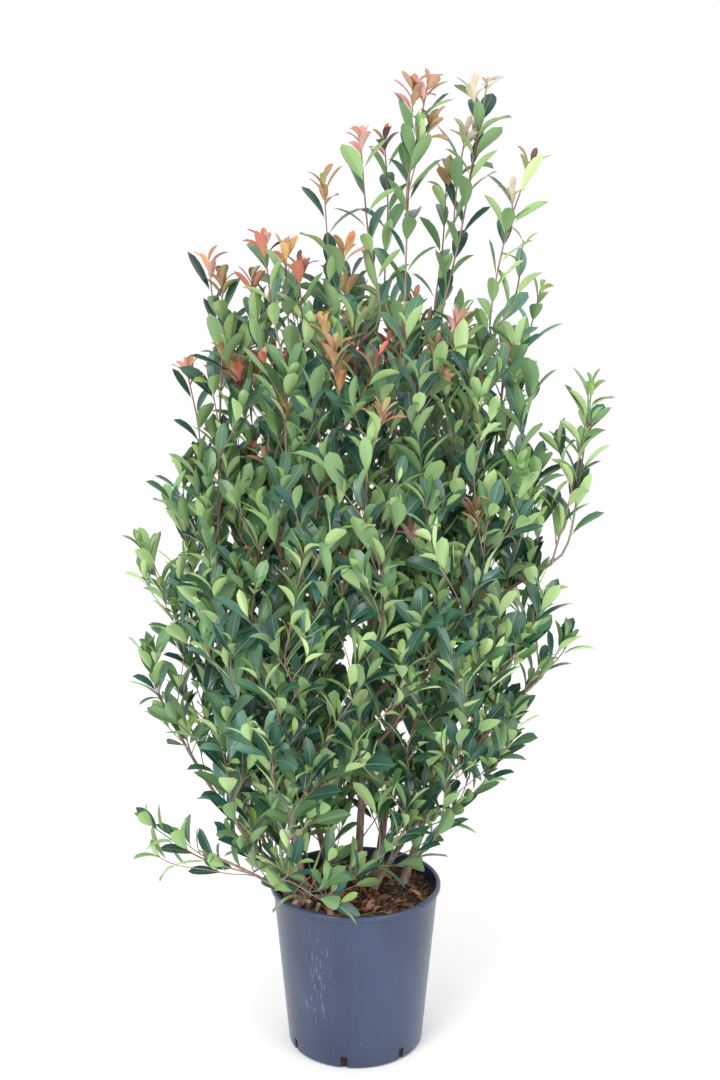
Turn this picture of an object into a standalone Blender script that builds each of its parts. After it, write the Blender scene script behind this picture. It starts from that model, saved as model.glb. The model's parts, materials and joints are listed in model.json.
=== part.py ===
"""Potted red tip photinia: a many-stemmed evergreen shrub standing in a round nursery pot.

Metres, +Z up. The origin is the centre of the pot's flat underside, and -Y is the side the
photograph shows. Every sub-part is one closed solid: the pot, the compost, each stem, each bough
and each mass of foliage. Stems start with a flat cut on the compost, boughs start on the side of
the limb that carries them, and each bough ends inside the mass it feeds.
"""

import math
from collections import namedtuple

import bmesh
import bpy
from mathutils import Matrix, Vector, noise

# Pot

RIM_RADIUS = 0.171
RIM_HEIGHT = 0.338
BASE_RADIUS = 0.1355
WALL = 0.003
BASE_EDGE_RADIUS = 0.006
LIP_OVERHANG = 0.0045
LIP_DEPTH = 0.012
LIP_WIDTH = 0.009
POT_SEGMENTS = 36
EDGE_STEPS = 2
LIP_STEPS = 3
MERGE_DISTANCE = 0.00001
SLOT_COUNT = 7
SLOT_WIDTH = 0.014
SLOT_HEIGHT = 0.026
SLOT_DEPTH = 0.007
SLOT_TURN = math.radians(-99.6)

# Compost

COMPOST_DROP = 0.026
COMPOST_SEGMENTS = 32
TOUCH_GAP = 0.0004

# Limbs

STEM_SIDES = 8
BOUGH_SIDES = 6
STEM_RINGS = 7
BOUGH_RINGS = 6
FLARE = 0.55
FLARE_HEIGHT = 0.035
FLARE_RING_SHARE = 0.30
FISH_MOUTH_GAP = 0.0006
SHEATH_SIDES = 5
SHEATH_GAP = 0.002
SHEATH_END = 0.006

# Foliage masses

MASS_SEGMENTS = 9
MASS_RINGS = 6
MASS_GAP = 0.0035
SWELL = 0.34
SWELL_SCALE = 1.9
SWELL_STEP = 9.0
OUTLINE_STEP = 0.97
CENTRE_SHARE = 0.60
OUTWARD_SHARE = 0.44
SIDEWAYS_SHARE = 0.56
LEVEL_OVERLAP = 1.25
LEVEL_STAGGER = 0.030
LEVEL_TILT = math.radians(26.0)
FULL = 2.7
SLENDER = 1.9

# Finishes: a linear colour and a roughness

Finish = namedtuple("Finish", "colour roughness")
POT_PLASTIC = Finish((0.085, 0.125, 0.205), 0.45)
COMPOST = Finish((0.060, 0.035, 0.022), 0.95)
BARK = Finish((0.190, 0.125, 0.090), 0.80)
YOUNG_BARK = Finish((0.240, 0.120, 0.070), 0.75)
GREEN_LEAVES = Finish((0.075, 0.160, 0.060), 0.60)
RED_LEAVES = Finish((0.300, 0.130, 0.080), 0.60)
POT_SMOOTH_ANGLE = math.radians(40.0)
LIMB_SMOOTH_ANGLE = math.radians(50.0)

Stem = namedtuple("Stem", "foot tip bow foot_radius tip_radius")
Bough = namedtuple("Bough", "parent along tip bow foot_radius tip_radius")
Level = namedtuple("Level", "height half_depth sides")
Spray = namedtuple("Spray", "base tip girth finish")

STEMS = {
    "stem_centre": Stem((0.004, 0.05), (0.034, -0.03, 1.02), (0.0, -0.01, 0.0), 0.0085, 0.0045),
    "stem_centre_back": Stem((0.046, 0.082), (0.092, 0.136, 1.24), (0.014, 0.0, 0.0), 0.0085, 0.0036),
    "stem_front_left": Stem((-0.03, 0.022), (-0.062, -0.14, 1.2), (-0.036, -0.026, 0.0), 0.007, 0.0036),
    "stem_left": Stem((-0.098, -0.02), (-0.285, -0.095, 1.1), (0.018, -0.018, 0.0), 0.0062, 0.0032),
    "stem_far_left": Stem((-0.112, 0.03), (-0.378, -0.05, 0.74), (0.0, -0.02, -0.04), 0.005, 0.0028),
    "stem_low_left": Stem((-0.1, -0.056), (-0.3, -0.115, 0.45), (-0.004, 0.0, 0.01), 0.0036, 0.0022),
    "stem_right": Stem((0.036, 0.022), (0.36, 0.0, 0.76), (0.0, 0.0, 0.03), 0.0062, 0.0032),
    "stem_back_left": Stem((-0.052, 0.088), (-0.19, 0.19, 1.04), (-0.02, 0.02, 0.0), 0.0066, 0.0036),
    "stem_back_right": Stem((0.098, 0.046), (0.24, 0.125, 1.06), (0.03, 0.01, 0.0), 0.0066, 0.0036),
}

BOUGHS = {
    "bough_right": Bough("stem_centre", 0.56, (0.372, -0.045, 1.0), (0.0, 0.0, 0.02), 0.0048, 0.0028),
    "bough_front_right": Bough("stem_centre", 0.4, (0.15, -0.19, 0.86), (0.0, -0.02, -0.01), 0.004, 0.0026),
    "bough_top": Bough("stem_centre", 0.92, (0.09, -0.05, 1.47), (0.01, 0.0, 0.0), 0.0038, 0.0024),
    "bough_top_left": Bough("stem_front_left", 0.9, (0.024, -0.08, 1.5), (0.01, 0.01, 0.0), 0.0032, 0.0022),
    "bough_shoulder_left": Bough(
        "stem_front_left", 0.72, (-0.124, -0.125, 1.38), (-0.016, -0.01, 0.0), 0.0036, 0.0024
    ),
    "bough_front_left": Bough(
        "stem_front_left", 0.34, (-0.185, -0.19, 0.92), (-0.01, -0.01, -0.03), 0.0038, 0.0025
    ),
    "bough_left_upright": Bough("stem_left", 0.42, (-0.14, -0.15, 1.12), (0.014, -0.01, 0.0), 0.004, 0.0026),
    "bough_left_top": Bough("stem_left", 0.88, (-0.252, -0.01, 1.33), (0.0, 0.0, 0.01), 0.0026, 0.002),
    "bough_left_back": Bough("stem_far_left", 0.16, (-0.295, 0.07, 0.64), (0.01, 0.0, -0.03), 0.0036, 0.0024),
    "bough_right_back": Bough("stem_right", 0.3, (0.215, 0.15, 0.7), (0.01, 0.0, -0.02), 0.004, 0.0026),
    "bough_top_right": Bough(
        "stem_centre_back", 0.72, (0.182, 0.045, 1.45), (0.0, -0.01, 0.0), 0.0036, 0.0024
    ),
    "bough_shoulder_right": Bough(
        "stem_back_right", 0.86, (0.285, 0.04, 1.4), (0.01, 0.0, 0.0), 0.0032, 0.0022
    ),
}

# How far the dense crown reaches from the axis, by height: to the left, right, front and back

CROWN_REACH = {
    0.40: (0.235, 0.150, 0.180, 0.170),
    0.50: (0.280, 0.215, 0.210, 0.215),
    0.60: (0.335, 0.310, 0.270, 0.280),
    0.75: (0.370, 0.370, 0.320, 0.325),
    0.95: (0.395, 0.385, 0.355, 0.360),
    1.15: (0.360, 0.365, 0.340, 0.345),
    1.35: (0.315, 0.350, 0.285, 0.290),
    1.50: (0.230, 0.295, 0.200, 0.215),
}

SIDE_ANGLES = {
    "right": 0.0,
    "back_right": 50.0,
    "back": 92.0,
    "back_left": 135.0,
    "left": 180.0,
    "front_left": 228.0,
    "front": 268.0,
    "front_right": 312.0,
}

LEVELS = {
    "foot": Level(0.400, 0.060, ("front_left",)),
    "low": Level(0.520, 0.105, ("right", "back", "left")),
    "lower": Level(0.710, 0.115, ("right", "back_right", "back_left", "left", "front_left")),
    "middle": Level(0.930, 0.125, ("right", "front_right", "back", "front_left", "left")),
    "upper": Level(1.150, 0.125, ("right", "back_right", "back_left", "left", "front")),
    "shoulder": Level(1.365, 0.120, ("right", "back", "front", "left")),
}

SPRAYS = {
    "tip_left_of_centre": Spray((-0.128, -0.120, 1.40), (-0.150, -0.125, 1.605), 0.062, RED_LEAVES),
    "tip_slender_left": Spray((-0.040, -0.100, 1.44), (-0.062, -0.100, 1.712), 0.034, GREEN_LEAVES),
    "tip_centre_left": Spray((0.022, -0.080, 1.47), (0.004, -0.080, 1.795), 0.042, RED_LEAVES),
    "tip_centre": Spray((0.088, -0.030, 1.46), (0.118, -0.050, 1.905), 0.050, RED_LEAVES),
    "tip_centre_right": Spray((0.176, 0.040, 1.46), (0.240, 0.040, 1.905), 0.044, GREEN_LEAVES),
    "tip_right": Spray((0.274, 0.010, 1.42), (0.326, 0.000, 1.755), 0.048, RED_LEAVES),
    "tip_far_right": Spray((0.325, 0.100, 1.36), (0.350, 0.100, 1.520), 0.036, GREEN_LEAVES),
    "tip_far_left": Spray((-0.245, 0.000, 1.36), (-0.280, 0.000, 1.570), 0.042, RED_LEAVES),
    "tip_low_left": Spray((-0.270, -0.030, 1.20), (-0.312, -0.030, 1.370), 0.036, RED_LEAVES),
    "spray_right": Spray((0.376, -0.045, 0.98), (0.442, -0.050, 1.350), 0.054, GREEN_LEAVES),
    "spray_right_low": Spray((0.350, 0.000, 0.735), (0.410, 0.000, 0.850), 0.050, GREEN_LEAVES),
    "spray_left": Spray((-0.340, -0.050, 0.88), (-0.412, -0.060, 1.050), 0.046, GREEN_LEAVES),
    "spray_left_low": Spray((-0.362, -0.050, 0.68), (-0.404, -0.050, 0.840), 0.040, GREEN_LEAVES),
    "spray_lowest_left": Spray((-0.215, -0.105, 0.335), (-0.415, -0.120, 0.520), 0.052, GREEN_LEAVES),
}


def clear_scene():
    for item in list(bpy.data.objects):
        bpy.data.objects.remove(item, do_unlink=True)


def paint(item, finish):
    material = bpy.data.materials.new(item.name + "_finish")
    material.use_nodes = True
    shader = material.node_tree.nodes["Principled BSDF"]
    shader.inputs["Base Color"].default_value = (*finish.colour, 1.0)
    shader.inputs["Roughness"].default_value = finish.roughness
    shader.inputs["Metallic"].default_value = 0.0
    item.data.materials.append(material)


def object_from_bmesh(name, shape, smooth_angle=None):
    bmesh.ops.recalc_face_normals(shape, faces=shape.faces)
    mesh = bpy.data.meshes.new(name)
    shape.to_mesh(mesh)
    shape.free()
    if smooth_angle is not None:
        mesh.shade_smooth()
        mesh.set_sharp_from_angle(angle=smooth_angle)
    item = bpy.data.objects.new(name, mesh)
    bpy.context.collection.objects.link(item)
    return item


def make_cutter(item):
    item.hide_render = True
    item.display_type = "WIRE"


def cut(item, cutter):
    """Takes the cutter away from the object for good, and keeps the largest body that is left."""
    boolean = item.modifiers.new(cutter.name, "BOOLEAN")
    boolean.operation = "DIFFERENCE"
    boolean.solver = "EXACT"
    boolean.object = cutter
    bpy.context.view_layer.update()
    depsgraph = bpy.context.evaluated_depsgraph_get()
    old_mesh = item.data
    item.data = bpy.data.meshes.new_from_object(item.evaluated_get(depsgraph))
    item.data.name = item.name
    item.modifiers.clear()
    bpy.data.meshes.remove(old_mesh)
    keep_largest_body(item.data)


def keep_largest_body(mesh):
    shape = bmesh.new()
    shape.from_mesh(mesh)
    unseen = set(shape.verts)
    bodies = []
    while unseen:
        body = set()
        edge_of_search = [unseen.pop()]
        while edge_of_search:
            vertex = edge_of_search.pop()
            body.add(vertex)
            for edge in vertex.link_edges:
                other = edge.other_vert(vertex)
                if other in unseen:
                    unseen.remove(other)
                    edge_of_search.append(other)
        bodies.append(body)
    bodies.sort(key=len)
    scraps = [vertex for body in bodies[:-1] for vertex in body]
    bmesh.ops.delete(shape, geom=scraps, context="VERTS")
    shape.to_mesh(mesh)
    shape.free()


def arc(centre_radius, centre_height, radius, first_degrees, last_degrees, steps):
    """Points of a circular arc in the half plane of radius and height."""
    points = []
    for step in range(steps + 1):
        angle = math.radians(first_degrees + (last_degrees - first_degrees) * step / steps)
        points.append((centre_radius + radius * math.cos(angle), centre_height + radius * math.sin(angle)))
    return points


def turned_solid(name, outline, segments):
    """Spins an outline that starts and ends on the axis into one closed solid."""
    shape = bmesh.new()
    points = [shape.verts.new((radius, 0.0, height)) for radius, height in outline]
    edges = [shape.edges.new(pair) for pair in zip(points, points[1:])]
    bmesh.ops.spin(
        shape,
        geom=points + edges,
        cent=(0.0, 0.0, 0.0),
        axis=(0.0, 0.0, 1.0),
        angle=2.0 * math.pi,
        steps=segments,
        use_merge=True,
    )
    bmesh.ops.remove_doubles(shape, verts=shape.verts, dist=MERGE_DISTANCE)
    return object_from_bmesh(name, shape, POT_SMOOTH_ANGLE)


def wall_radius(height):
    """Outer radius of the pot's tapering wall."""
    neck_radius = RIM_RADIUS - LIP_OVERHANG
    return BASE_RADIUS + (neck_radius - BASE_RADIUS) * height / RIM_HEIGHT


def make_pot():
    edge = BASE_EDGE_RADIUS
    lip_bottom = RIM_HEIGHT - LIP_DEPTH
    lip_round = LIP_WIDTH / 2.0
    outline = [(0.0, 0.0)]
    outline += arc(wall_radius(edge) - edge, edge, edge, -90.0, 0.0, EDGE_STEPS)
    outline += [(wall_radius(lip_bottom), lip_bottom), (RIM_RADIUS, lip_bottom + LIP_OVERHANG / 2.0)]
    outline += arc(RIM_RADIUS - lip_round, RIM_HEIGHT - lip_round, lip_round, 0.0, 180.0, LIP_STEPS)
    outline += [(wall_radius(lip_bottom) - WALL, lip_bottom), (wall_radius(WALL) - WALL, WALL), (0.0, WALL)]
    pot = turned_solid("pot", outline, POT_SEGMENTS)
    for number in range(SLOT_COUNT):
        cutter = make_slot_cutter(number)
        cut(pot, cutter)
    paint(pot, POT_PLASTIC)
    return pot


def make_slot_cutter(number):
    """A block that cuts one drainage slot out of the wall, open at the base's edge."""
    angle = SLOT_TURN + 2.0 * math.pi * number / SLOT_COUNT
    shape = bmesh.new()
    size = Matrix.Diagonal((2.0 * SLOT_DEPTH, SLOT_WIDTH, 2.0 * SLOT_HEIGHT, 1.0))
    place = Matrix.Translation((BASE_RADIUS, 0.0, 0.0))
    turn = Matrix.Rotation(angle, 4, "Z")
    bmesh.ops.create_cube(shape, size=1.0, matrix=turn @ place @ size)
    cutter = object_from_bmesh("slot_cutter_%d" % (number + 1), shape)
    make_cutter(cutter)
    return cutter


def compost_height():
    return RIM_HEIGHT - COMPOST_DROP


def make_compost():
    """The root ball in its compost, which fills the pot to just under the lip."""
    floor = WALL + TOUCH_GAP
    top = compost_height()
    inset = WALL + TOUCH_GAP
    room = 1.0 / math.cos(math.pi / POT_SEGMENTS)
    outline = [(0.0, floor), ((wall_radius(floor) - inset) / room, floor)]
    outline += [((wall_radius(top) - inset) / room, top), (0.0, top)]
    compost = turned_solid("compost", outline, COMPOST_SEGMENTS)
    paint(compost, COMPOST)
    return compost


def bowed_path(start, tip, bow, rings):
    """Points of a curve from start to tip that passes the bow's distance from the straight middle."""
    middle = (start + tip) / 2.0 + bow
    handle = 2.0 * middle - (start + tip) / 2.0
    points = []
    for ring in range(rings):
        share = ring / (rings - 1)
        points.append((1 - share) ** 2 * start + 2 * (1 - share) * share * handle + share ** 2 * tip)
    return points


def stem_path(stem):
    start = Vector((*stem.foot, compost_height() + TOUCH_GAP))
    return bowed_path(start, Vector(stem.tip), Vector(stem.bow), STEM_RINGS)


def point_along(path, share):
    place = share * (len(path) - 1)
    index = min(int(place), len(path) - 2)
    return path[index].lerp(path[index + 1], place - index)


def bough_path(bough):
    start = point_along(stem_path(STEMS[bough.parent]), bough.along)
    return bowed_path(start, Vector(bough.tip), Vector(bough.bow), BOUGH_RINGS)


def limb_radii(limb, path):
    """Radius at each point of a limb's path: an even taper, with the root flare on a stem's foot."""
    flare = FLARE if isinstance(limb, Stem) else 0.0
    radii = []
    for index, point in enumerate(path):
        share = index / (len(path) - 1)
        radius = limb.foot_radius + (limb.tip_radius - limb.foot_radius) * share
        rise = (point - path[0]).length
        radii.append(radius * (1.0 + flare * math.exp(-rise / FLARE_HEIGHT)))
    return radii


def with_flare_ring(path):
    """Adds a ring low on a stem, so that its root flare has a shape."""
    return [path[0], path[0].lerp(path[1], FLARE_RING_SHARE)] + path[1:]


def tube(name, path, radii, sides, flat_foot):
    """A closed tube of changing radius along a path. With flat_foot its first ring is level."""
    shape = bmesh.new()
    rings = []
    side_axis = Vector((1.0, 0.0, 0.0))
    for index, point in enumerate(path):
        ahead = path[min(index + 1, len(path) - 1)] - path[max(index - 1, 0)]
        axis = ahead.normalized()
        if index == 0 and flat_foot:
            axis = Vector((0.0, 0.0, 1.0))
        side_axis = (side_axis - axis * side_axis.dot(axis)).normalized()
        up_axis = axis.cross(side_axis)
        ring = []
        for side in range(sides):
            angle = 2.0 * math.pi * side / sides
            spoke = side_axis * math.cos(angle) + up_axis * math.sin(angle)
            ring.append(shape.verts.new(point + spoke * radii[index]))
        rings.append(ring)
    for lower, upper in zip(rings, rings[1:]):
        for side in range(sides):
            after = (side + 1) % sides
            shape.faces.new((lower[side], lower[after], upper[after], upper[side]))
    shape.faces.new(rings[0])
    shape.faces.new(rings[-1])
    bmesh.ops.triangulate(shape, faces=shape.faces)
    return object_from_bmesh(name, shape, LIMB_SMOOTH_ANGLE)


def make_sheath(name, path, radii, sides, gap):
    """A wider tube round a limb, which cuts room for the limb out of its neighbours."""
    ahead = (path[-1] - path[-2]).normalized()
    long_path = path[:-1] + [path[-1] + ahead * SHEATH_END]
    flat_share = math.cos(math.pi / sides)
    sheath = tube(name, long_path, [(radius + gap) / flat_share for radius in radii], sides, False)
    make_cutter(sheath)
    return sheath


def make_stems():
    for name, stem in STEMS.items():
        path = with_flare_ring(stem_path(stem))
        item = tube(name, path, limb_radii(stem, path), STEM_SIDES, True)
        paint(item, BARK)


def make_boughs():
    """Boughs start on their parent's axis and lose what lies inside the parent."""
    for name, bough in BOUGHS.items():
        path = bough_path(bough)
        item = tube(name, path, limb_radii(bough, path), BOUGH_SIDES, False)
        parent = STEMS[bough.parent]
        parent_path = with_flare_ring(stem_path(parent))
        parent_radii = limb_radii(parent, parent_path)
        mouth = make_sheath(name + "_mouth", parent_path, parent_radii, STEM_SIDES, FISH_MOUTH_GAP)
        cut(item, mouth)
        paint(item, YOUNG_BARK)


def crown_reach(height, side):
    """The crown's reach at a height, read between the stated heights. Sides: 0 left to 3 back."""
    heights = sorted(CROWN_REACH)
    height = min(max(height, heights[0]), heights[-1])
    for lower, upper in zip(heights, heights[1:]):
        if height <= upper:
            share = (height - lower) / (upper - lower)
            return CROWN_REACH[lower][side] * (1.0 - share) + CROWN_REACH[upper][side] * share
    return CROWN_REACH[heights[-1]][side]


def reach_towards(height, angle):
    """The crown's reach in a direction, on an ellipse between the four stated reaches."""
    across = crown_reach(height, 1 if math.cos(angle) > 0.0 else 0)
    along = crown_reach(height, 3 if math.sin(angle) > 0.0 else 2)
    return 1.0 / math.hypot(math.cos(angle) / across, math.sin(angle) / along)


def beyond_outline(point):
    return point.xy.length > reach_towards(point.z, math.atan2(point.y, point.x))


class Mass:
    """One mass of foliage before it is trimmed: centre, axes, half sizes, and how boxy it is."""

    def __init__(self, name, centre, axes, half_sizes, fullness, finish):
        self.name = name
        self.centre = centre
        self.axes = axes
        self.half_sizes = half_sizes
        self.fullness = fullness
        self.finish = finish
        spread = Matrix.Diagonal([size * size for size in half_sizes])
        self.spread = axes @ spread @ axes.transposed()

    def support(self, direction):
        return math.sqrt(direction.dot(self.spread @ direction))


def level_masses():
    """The masses of the dense crown, in rings whose outer ends sweep upwards."""
    masses = []
    upright = Vector((0.0, 0.0, 1.0))
    for level_name, level in LEVELS.items():
        for number, side in enumerate(level.sides):
            angle = math.radians(SIDE_ANGLES[side])
            height = level.height + LEVEL_STAGGER * (number % 2 - 0.5)
            reach = reach_towards(height, angle)
            outward = Vector((math.cos(angle), math.sin(angle), 0.0))
            sideways = upright.cross(outward)
            swept = outward * math.cos(LEVEL_TILT) + upright * math.sin(LEVEL_TILT)
            axes = Matrix((swept, sideways, swept.cross(sideways))).transposed()
            centre = outward * reach * CENTRE_SHARE + upright * height
            half_depth = level.half_depth * LEVEL_OVERLAP
            half_sizes = (reach * OUTWARD_SHARE, reach * SIDEWAYS_SHARE, half_depth)
            name = "foliage_%s_%s" % (level_name, side)
            masses.append(Mass(name, centre, axes, half_sizes, FULL, GREEN_LEAVES))
    return masses


def spray_masses():
    masses = []
    for name, spray in SPRAYS.items():
        base = Vector(spray.base)
        tip = Vector(spray.tip)
        along = (tip - base).normalized()
        sideways = along.cross(Vector((0.0, 1.0, 0.0))).normalized()
        axes = Matrix((sideways, along.cross(sideways), along)).transposed()
        half_sizes = (spray.girth, spray.girth, (tip - base).length / 2.0)
        centre = (base + tip) / 2.0
        masses.append(Mass("foliage_" + name, centre, axes, half_sizes, SLENDER, spray.finish))
    return masses


def trimming_planes(mass, masses):
    """Planes that the mass may not cross: one for each neighbour, and the pot's rim if it is above it."""
    planes = []
    if mass.centre.xy.length < RIM_RADIUS + MASS_GAP:
        planes.append((Vector((0.0, 0.0, -1.0)), mass.centre.z - RIM_HEIGHT - MASS_GAP))
    for other in masses:
        if other is mass:
            continue
        apart = other.centre - mass.centre
        normal = ((mass.spread + other.spread).inverted() @ apart).normalized()
        room = normal.dot(apart)
        share = mass.support(normal) / (mass.support(normal) + other.support(normal))
        planes.append((normal, room * share - MASS_GAP))
    return planes


def swelling(direction, number):
    """Uneven growth of a mass in a direction, the same each time for the same mass."""
    place = direction * SWELL_SCALE + Vector((number * SWELL_STEP, 0.0, 0.0))
    return 1.0 + SWELL * noise.noise(place)


def boxed(direction, fullness):
    """A point of a rounded box, which is a ball at a fullness of 2 and squarer above it."""
    total = sum(abs(part) ** fullness for part in direction)
    return direction / total ** (1.0 / fullness)


def make_mass(mass, number, masses):
    shape = bmesh.new()
    bmesh.ops.create_uvsphere(shape, u_segments=MASS_SEGMENTS, v_segments=MASS_RINGS, radius=1.0)
    planes = trimming_planes(mass, masses)
    stretch = mass.axes @ Matrix.Diagonal(mass.half_sizes)
    in_crown = mass.fullness == FULL
    for vertex in shape.verts:
        offset = stretch @ boxed(vertex.co, mass.fullness) * swelling(vertex.co, number)
        kept = 1.0
        for normal, distance in planes:
            along = normal.dot(offset)
            if along > distance:
                kept = min(kept, distance / along)
        while in_crown and beyond_outline(mass.centre + offset * kept):
            kept *= OUTLINE_STEP
        vertex.co = mass.centre + offset * kept
    bmesh.ops.triangulate(shape, faces=shape.faces)
    item = object_from_bmesh(mass.name, shape)
    paint(item, mass.finish)
    return item


def box_of(item):
    corners = [vertex.co for vertex in item.data.vertices]
    low = Vector([min(corner[axis] for corner in corners) for axis in range(3)])
    high = Vector([max(corner[axis] for corner in corners) for axis in range(3)])
    return low, high


def boxes_meet(first, second):
    low_a, high_a = box_of(first)
    low_b, high_b = box_of(second)
    return all(low_a[axis] < high_b[axis] and low_b[axis] < high_a[axis] for axis in range(3))


def limb_sheaths():
    limbs = [(name, stem, stem_path(stem)) for name, stem in STEMS.items()]
    limbs += [(name, bough, bough_path(bough)) for name, bough in BOUGHS.items()]
    sheaths = []
    for name, limb, path in limbs:
        radii = limb_radii(limb, path)
        sheaths.append(make_sheath(name + "_sheath", path, radii, SHEATH_SIDES, SHEATH_GAP))
    return sheaths


def make_foliage():
    """Masses that share out the crown between them and are cut round every limb they meet."""
    masses = level_masses() + spray_masses()
    sheaths = limb_sheaths()
    for number, mass in enumerate(masses):
        item = make_mass(mass, number, masses)
        for sheath in sheaths:
            if boxes_meet(item, sheath):
                cut(item, sheath)


def main():
    clear_scene()
    make_pot()
    make_compost()
    make_stems()
    make_boughs()
    make_foliage()


main()
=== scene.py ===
import json
import math
from collections import namedtuple

import bmesh
import bpy
import numpy as np
from mathutils import Matrix, Vector, noise
from mathutils.bvhtree import BVHTree
from numpy.linalg import norm


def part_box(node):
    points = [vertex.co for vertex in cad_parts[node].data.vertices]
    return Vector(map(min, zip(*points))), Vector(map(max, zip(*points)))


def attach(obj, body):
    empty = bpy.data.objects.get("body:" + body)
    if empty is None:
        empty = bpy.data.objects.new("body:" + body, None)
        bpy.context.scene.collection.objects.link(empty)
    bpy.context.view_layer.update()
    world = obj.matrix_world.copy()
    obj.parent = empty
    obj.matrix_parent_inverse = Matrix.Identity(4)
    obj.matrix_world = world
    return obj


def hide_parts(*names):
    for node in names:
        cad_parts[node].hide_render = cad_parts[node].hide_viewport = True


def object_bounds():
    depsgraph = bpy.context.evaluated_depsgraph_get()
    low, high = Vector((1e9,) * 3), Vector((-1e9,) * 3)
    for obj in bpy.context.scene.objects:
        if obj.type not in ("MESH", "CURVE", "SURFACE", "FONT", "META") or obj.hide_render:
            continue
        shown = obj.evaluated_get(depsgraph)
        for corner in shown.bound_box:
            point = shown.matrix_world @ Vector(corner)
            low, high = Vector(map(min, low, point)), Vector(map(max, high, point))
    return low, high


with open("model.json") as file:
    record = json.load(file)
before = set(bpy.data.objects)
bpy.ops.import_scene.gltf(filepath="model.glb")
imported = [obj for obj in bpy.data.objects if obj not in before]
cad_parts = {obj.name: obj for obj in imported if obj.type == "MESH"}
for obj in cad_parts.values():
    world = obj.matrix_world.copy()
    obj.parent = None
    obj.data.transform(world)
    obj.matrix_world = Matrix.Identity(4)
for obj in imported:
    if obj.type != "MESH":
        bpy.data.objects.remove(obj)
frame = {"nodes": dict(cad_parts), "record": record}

# Looks of a potted red tip photinia: the moulded pot, the bark compost, the bark of its stems and
# boughs, and the twigs and leaves that grow on from them. Metres, +Z up, -Y towards the viewer.

CAD_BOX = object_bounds()
NODES = frame["nodes"]
SEED = 1907
DRAWS = np.random.default_rng(SEED)
FULL_TURN = 2.0 * math.pi
UP = np.array((0.0, 0.0, 1.0))
TUBE_SKEW = (0.31, 0.95, 0.05)

# Pot

RIM_RADIUS = 0.171
RIM_HEIGHT = 0.338
BASE_RADIUS = 0.1355
WALL = 0.003
EDGE_RADIUS = 0.006
LIP_OVERHANG = 0.0045
LIP_DEPTH = 0.012
LIP_WIDTH = 0.009
LIP_EDGE_INSET = 0.0012
LIP_EDGE_RISE = 0.0008
GROOVE_DEPTH = 0.0006
GROOVE_RISE = 0.001
SLOT_COUNT = 7
SLOT_WIDTH = 0.014
SLOT_HEIGHT = 0.026
SLOT_DEPTH = 0.007
SLOT_TURN = math.radians(-99.6)
WALL_STEPS = 12
SECTOR_STEPS = 15
LIP_STEPS = 10
EDGE_STEPS = 4
# Where hard water has marked the pot: axis, where the marks begin and where they are full
MARKED_PATCH = (
    ("X", -0.112, -0.088),
    ("X", -0.036, -0.062),
    ("Y", -0.05, -0.09),
    ("Z", 0.075, 0.12),
    ("Z", 0.318, 0.25),
)

# Compost, with its lumps, bark chips and fallen leaves

COMPOST_HEIGHT = 0.312
COMPOST_GAP = 0.0006
COMPOST_RINGS = 44
SPOKES = 150
COMPOST_LUMPS = 0.0055
CRUMB_SHARE = 0.55
COMPOST_SINK = 0.001
CHIP_COUNT = 1500
SMALL_CHIPS = 0.8
CHIP_MARGIN = 0.6
CHIP_LEAN = 0.38
CHIP_LIFT = 0.8
CHIP_TINTS = [
    (64, 44, 34), (92, 62, 46), (138, 86, 52), (112, 82, 66), (158, 104, 66), (80, 60, 50), (44, 32, 28),
]
# Places of the fallen leaves that show, and which of the dead tints each has
LITTER_SPOTS = [
    (-0.034, -0.122, 1), (0.026, -0.114, 2), (0.066, -0.106, 2), (0.02, -0.06, 0), (-0.07, -0.108, 2),
    (0.1, -0.07, 0), (0.06, -0.03, 0), (0.0, -0.095, 0), (-0.02, -0.07, 1), (0.115, 0.02, 0),
    (0.045, -0.085, 1), (-0.01, -0.118, 0), (-0.05, -0.095, 1), (0.088, -0.045, 1), (0.012, -0.082, 1),
]
LITTER_COUNT = 14
LITTER_RADIUS = 0.125
LITTER_RISE = 0.12
LITTER_TILT = 0.25
LITTER_LIFT = 0.008
LITTER_CENTRE = 0.45

# Bark

LIMB_SIDES = 14
LIMB_STEP = 0.009
RING_GAP = 0.012
BOUGH_SWELL = 1.25
SHOOTLESS_FOOT = 0.06
BARK_RELIEF = 0.1
WAVES_ROUND = 1.6
WAVES_ALONG = 60.0
BARK_VARIETY = 90.0
KNOT_SPACING = 0.035
KNOT_SWELL = 0.13
KNOT_LENGTH = 0.0035
# Stubs of stems cut off close to the compost: place, lean and radius
STUBS = [
    ((-0.108, -0.086), (-0.35, -0.25), 0.0062),
    ((-0.094, -0.072), (0.1, -0.4), 0.005),
    ((-0.126, -0.046), (-0.5, 0.05), 0.0056),
    ((-0.118, -0.012), (-0.3, 0.3), 0.0044),
    ((-0.078, -0.092), (0.25, -0.15), 0.004),
]
STUB_LENGTH = 0.024
STUB_BURIED = 0.008
STUB_SWELL = (1.25, 1.1, 1.0, 1.0, 1.02, 1.0)

# Branching. A shoot starts where the cost is least: its length, and more for a low rise, a sharp
# angle, or a shoot that is too short or too flat. Masses that begin below LOW_MASSES are fuller.

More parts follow.
